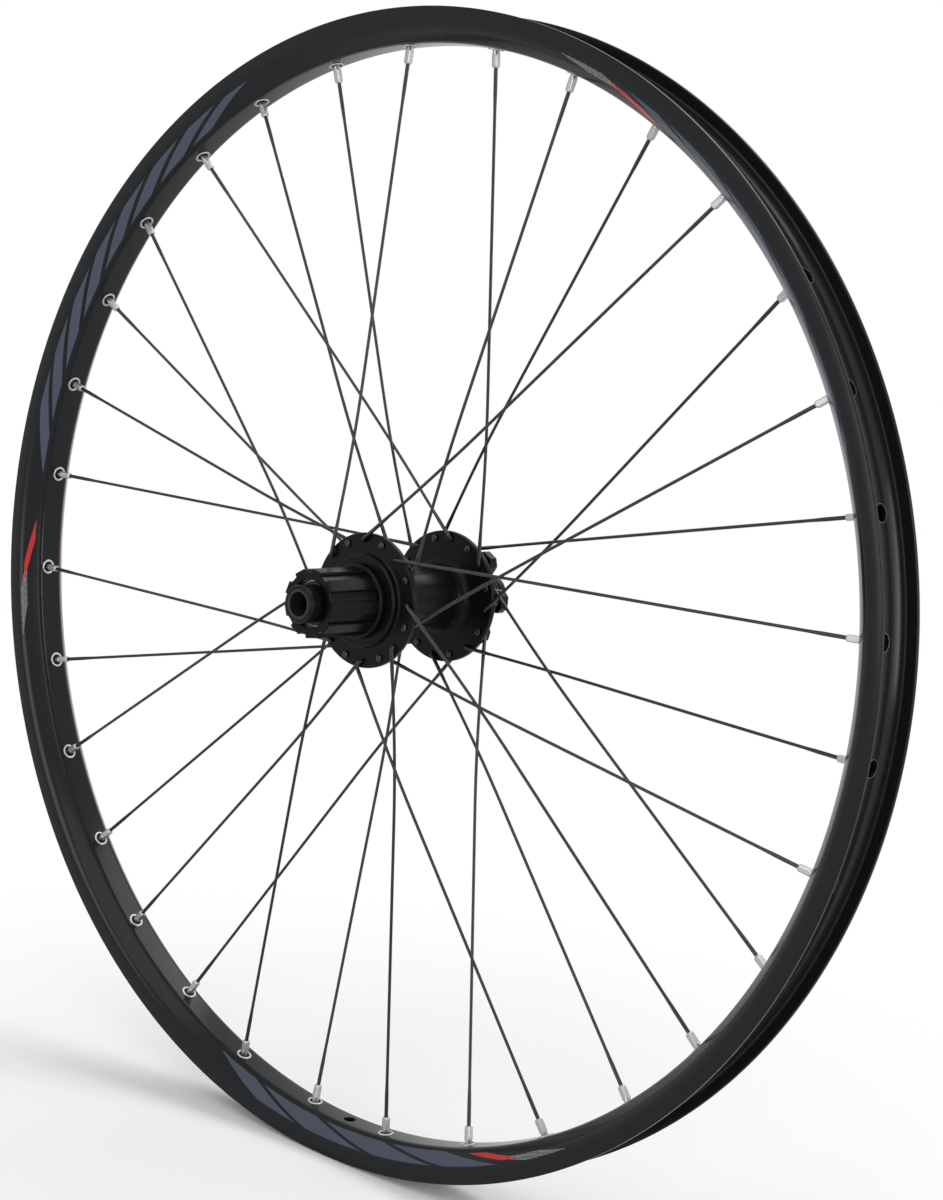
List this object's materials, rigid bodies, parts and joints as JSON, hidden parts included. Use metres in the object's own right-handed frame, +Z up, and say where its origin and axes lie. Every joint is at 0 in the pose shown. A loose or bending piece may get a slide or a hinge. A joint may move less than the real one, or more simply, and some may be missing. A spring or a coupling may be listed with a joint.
{
  "type": "bicycle wheel",
  "caption": "Rear bicycle wheel without tyre: hollow rim, crossed wire spokes, flanged hub with a splined freehub, disc brake seat and through-axle bore.",
  "frame": {"origin": "centre of the wheel: on the axle's axis, midway between the two end faces and in the rim's middle plane", "axes": "+Y along the axle from the drive side to the brake side, +Z up with the valve hole at the bottom, +X forwards"},
  "size_m": [0.5959, 0.148, 0.596],
  "materials": {
    "rim_black": "satin black",
    "spoke_black": "black steel wire",
    "nipple_silver": "bright",
    "hub_black": "satin black",
    "freehub_black": "hard black",
    "cap_black": "satin black",
    "axle_grey": "turned",
    "bearing_steel": "ground",
    "pawl_steel": "hardened"
  },
  "bodies": {
    "axle": {"axle": "axle_grey", "end_caps": "cap_black", "hub_bearings": "bearing_steel", "freehub_bearings": "bearing_steel"},
    "wheel": {"rim": "rim_black", "nipples": "nipple_silver", "hub_shell": "hub_black", "spoke_01": "spoke_black", "spoke_02": "spoke_black", "spoke_03": "spoke_black", "spoke_04": "spoke_black", "spoke_05": "spoke_black", "spoke_06": "spoke_black", "spoke_07": "spoke_black", "spoke_08": "spoke_black", "spoke_09": "spoke_black", "spoke_10": "spoke_black", "spoke_11": "spoke_black", "spoke_12": "spoke_black", "spoke_13": "spoke_black", "spoke_14": "spoke_black", "spoke_15": "spoke_black", "spoke_16": "spoke_black", "spoke_17": "spoke_black", "spoke_18": "spoke_black", "spoke_19": "spoke_black", "spoke_20": "spoke_black", "spoke_21": "spoke_black", "spoke_22": "spoke_black", "spoke_23": "spoke_black", "spoke_24": "spoke_black", "spoke_25": "spoke_black", "spoke_26": "spoke_black", "spoke_27": "spoke_black", "spoke_28": "spoke_black", "spoke_29": "spoke_black", "spoke_30": "spoke_black", "spoke_31": "spoke_black", "spoke_32": "spoke_black"},
    "freehub": {"freehub": "freehub_black"},
    "pawl_1": {"pawl_1": "pawl_steel"},
    "pawl_2": {"pawl_2": "pawl_steel"},
    "pawl_3": {"pawl_3": "pawl_steel"}
  },
  "joints": [
    {"name": "wheel_spin", "type": "hinge", "parent": "axle", "child": "wheel", "pos_m": [0, 0, 0], "axis": [0, 1, 0], "continuous": true},
    {"name": "freehub_spin", "type": "hinge", "parent": "axle", "child": "freehub", "pos_m": [0, -0.045, 0], "axis": [0, 1, 0], "continuous": true},
    {"name": "pawl_1_swing", "type": "hinge", "parent": "freehub", "child": "pawl_1", "pos_m": [0.0142, -0.0235, 0], "axis": [0, 1, 0], "range_deg": [0, 12], "stiffness_Nm_per_rad": 0.01},
    {"name": "pawl_2_swing", "type": "hinge", "parent": "freehub", "child": "pawl_2", "pos_m": [-0.0071, -0.0235, 0.0123], "axis": [0, 1, 0], "range_deg": [0, 12], "stiffness_Nm_per_rad": 0.01},
    {"name": "pawl_3_swing", "type": "hinge", "parent": "freehub", "child": "pawl_3", "pos_m": [-0.0071, -0.0235, -0.0123], "axis": [0, 1, 0], "range_deg": [0, 12], "stiffness_Nm_per_rad": 0.01}
  ]
}
